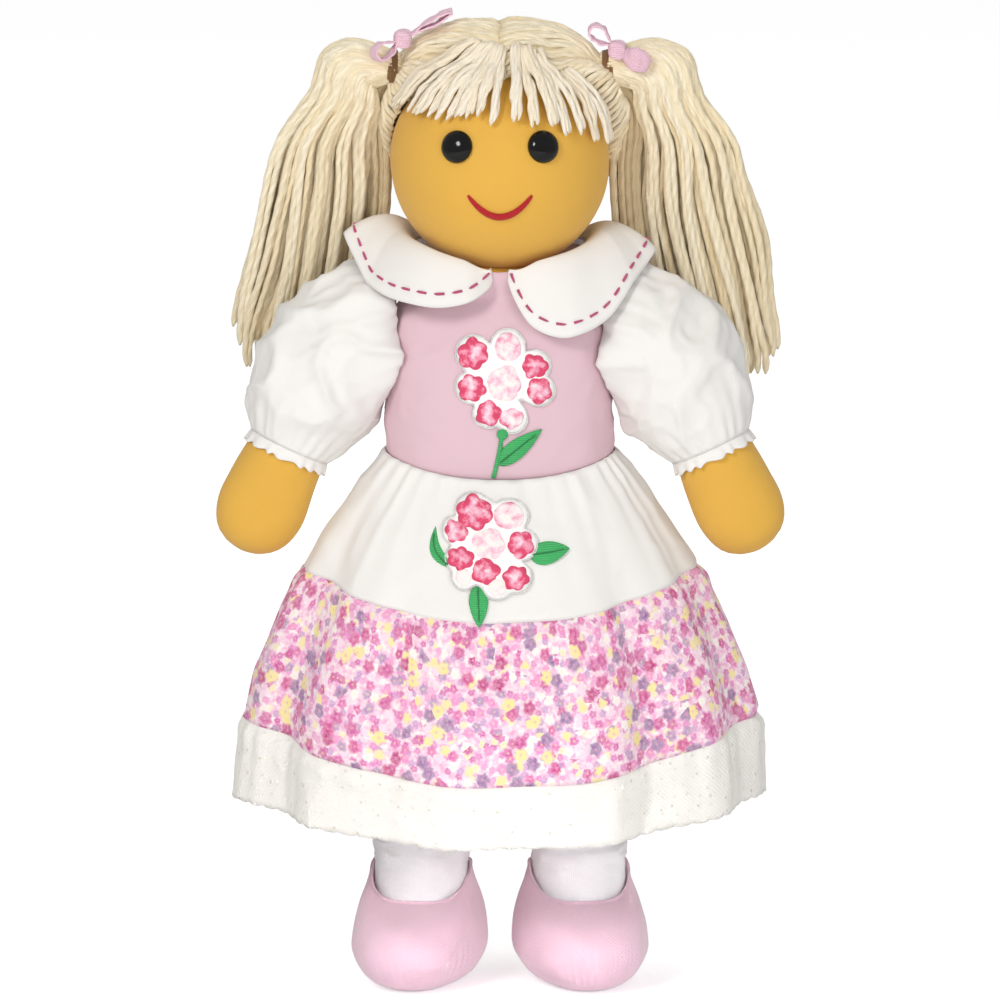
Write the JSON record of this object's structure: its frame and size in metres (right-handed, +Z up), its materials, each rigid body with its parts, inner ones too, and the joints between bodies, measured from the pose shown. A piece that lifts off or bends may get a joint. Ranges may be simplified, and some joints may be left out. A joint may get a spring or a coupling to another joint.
{
  "type": "rag doll",
  "caption": "Stuffed cloth doll with yarn pigtails, a round-collared puff-sleeved dress with a tiered skirt, knickers, socks and soft shoes, on flat soles.",
  "frame": {"origin": "centre of the whole doll's outline in plan, on the floor under the soles", "axes": "+Z up from the soles to the crown, -Y the way the face looks, +X the doll's own left"},
  "size_m": [0.2444, 0.1583, 0.4261],
  "materials": {
    "calico": "plain unbleached cotton, matt",
    "skin": "mustard cotton, plain weave, matt",
    "eye_black": "polished black dome",
    "plastic": "natural moulded washer",
    "mouth_red": "satin stitch, soft sheen",
    "hair": "thick two-ply cream yarn",
    "bow_pink": "soft knitted ribbon",
    "pink_linen": "dusty pink fine-slub cloth",
    "white_cotton": "off-white cotton, matt",
    "floral_print": "cotton printed with tiny flowers",
    "shoe_pink": "brushed pink cloth",
    "flower_pink": "printed and edge-stitched applique",
    "leaf_green": "green applique and stitching"
  },
  "bodies": {
    "torso": {"body": "calico", "bodice_front": "pink_linen", "bodice_back": "pink_linen", "back_placket": "pink_linen", "collar_left": "white_cotton", "collar_right": "white_cotton", "flower_upper": "flower_pink", "stem_upper": "leaf_green", "leaf_upper": "leaf_green", "skirt_upper": "white_cotton", "skirt_floral": "floral_print", "skirt_trim": "white_cotton", "flower_lower": "flower_pink", "leaf_lower_a": "leaf_green", "leaf_lower_b": "leaf_green", "leaf_lower_c": "leaf_green", "knickers_seat": "white_cotton"},
    "neck": {"neck": "skin"},
    "head": {"head": "skin", "eye_left": "eye_black", "eye_right": "eye_black", "eye_washer_left": "plastic", "eye_washer_right": "plastic", "mouth": "mouth_red", "hair_cap": "hair", "fringe": "hair"},
    "hips": {"hip_band": "calico"},
    "tie_left": {"hair_tie_left": "hair", "bow_knot_left": "bow_pink", "bow_loop_inner_left": "bow_pink", "bow_loop_outer_left": "bow_pink"},
    "pigtail_left": {"pigtail_left": "hair"},
    "shoulder_left": {"shoulder_tab_left": "calico", "sleeve_left": "white_cotton"},
    "arm_left": {"arm_left": "skin", "cuff_frill_left": "white_cotton"},
    "leg_left": {"leg_left": "skin", "sock_left": "white_cotton", "knickers_leg_left": "white_cotton", "shoe_left": "shoe_pink"},
    "tie_right": {"hair_tie_right": "hair", "bow_knot_right": "bow_pink", "bow_loop_inner_right": "bow_pink", "bow_loop_outer_right": "bow_pink"},
    "pigtail_right": {"pigtail_right": "hair"},
    "shoulder_right": {"shoulder_tab_right": "calico", "sleeve_right": "white_cotton"},
    "arm_right": {"arm_right": "skin", "cuff_frill_right": "white_cotton"},
    "leg_right": {"leg_right": "skin", "sock_right": "white_cotton", "knickers_leg_right": "white_cotton", "shoe_right": "shoe_pink"}
  },
  "joints": [
    {"name": "neck_turn", "type": "hinge", "parent": "torso", "child": "neck", "pos_m": [0, 0, 0.302], "axis": [0, 0, 1], "range_deg": [-22, 22]},
    {"name": "head_nod", "type": "hinge", "parent": "neck", "child": "head", "pos_m": [0, 0, 0.306], "axis": [1, 0, 0], "range_deg": [-6, 8]},
    {"name": "hips_sit", "type": "hinge", "parent": "torso", "child": "hips", "pos_m": [0, 0, 0.178], "axis": [-1, 0, 0], "range_deg": [0, 80], "deforming": ["skirt_upper", "skirt_floral", "skirt_trim", "flower_lower", "leaf_lower_a", "leaf_lower_b", "leaf_lower_c", "knickers_seat"]},
    {"name": "pigtail_left_swing", "type": "hinge", "parent": "head", "child": "tie_left", "pos_m": [0, 0.002, 0.3965], "axis": [1, 0, 0], "range_deg": [-18, 18]},
    {"name": "pigtail_left_lift", "type": "hinge", "parent": "tie_left", "child": "pigtail_left", "pos_m": [0.05839, 0.002, 0.3965], "axis": [0, -1, 0], "range_deg": [0, 50]},
    {"name": "arm_left_swing", "type": "hinge", "parent": "torso", "child": "shoulder_left", "pos_m": [0, 0, 0.29], "axis": [-1, 0, 0], "range_deg": [-10, 90], "deforming": ["sleeve_left"]},
    {"name": "arm_left_raise", "type": "hinge", "parent": "shoulder_left", "child": "arm_left", "pos_m": [0.06386, 0, 0.29], "axis": [0, -1, 0], "range_deg": [0, 65]},
    {"name": "leg_left_swing", "type": "hinge", "parent": "hips", "child": "leg_left", "pos_m": [0.0245, 0, 0.17], "axis": [-1, 0, 0], "range_deg": [-20, 20]},
    {"name": "pigtail_right_swing", "type": "hinge", "parent": "head", "child": "tie_right", "pos_m": [0, 0.002, 0.3965], "axis": [1, 0, 0], "range_deg": [-18, 18]},
    {"name": "pigtail_right_lift", "type": "hinge", "parent": "tie_right", "child": "pigtail_right", "pos_m": [-0.05839, 0.002, 0.3965], "axis": [0, 1, 0], "range_deg": [0, 50]},
    {"name": "arm_right_swing", "type": "hinge", "parent": "torso", "child": "shoulder_right", "pos_m": [0, 0, 0.29], "axis": [-1, 0, 0], "range_deg": [-10, 90], "deforming": ["sleeve_right"]},
    {"name": "arm_right_raise", "type": "hinge", "parent": "shoulder_right", "child": "arm_right", "pos_m": [-0.06386, 0, 0.29], "axis": [0, 1, 0], "range_deg": [0, 65]},
    {"name": "leg_right_swing", "type": "hinge", "parent": "hips", "child": "leg_right", "pos_m": [-0.0245, 0, 0.17], "axis": [-1, 0, 0], "range_deg": [-20, 20]}
  ],
  "couplings": [
    {"joint": "pigtail_left_swing", "follows": "neck_turn", "ratio": -0.8},
    {"joint": "pigtail_right_swing", "follows": "neck_turn", "ratio": 0.8}
  ]
}
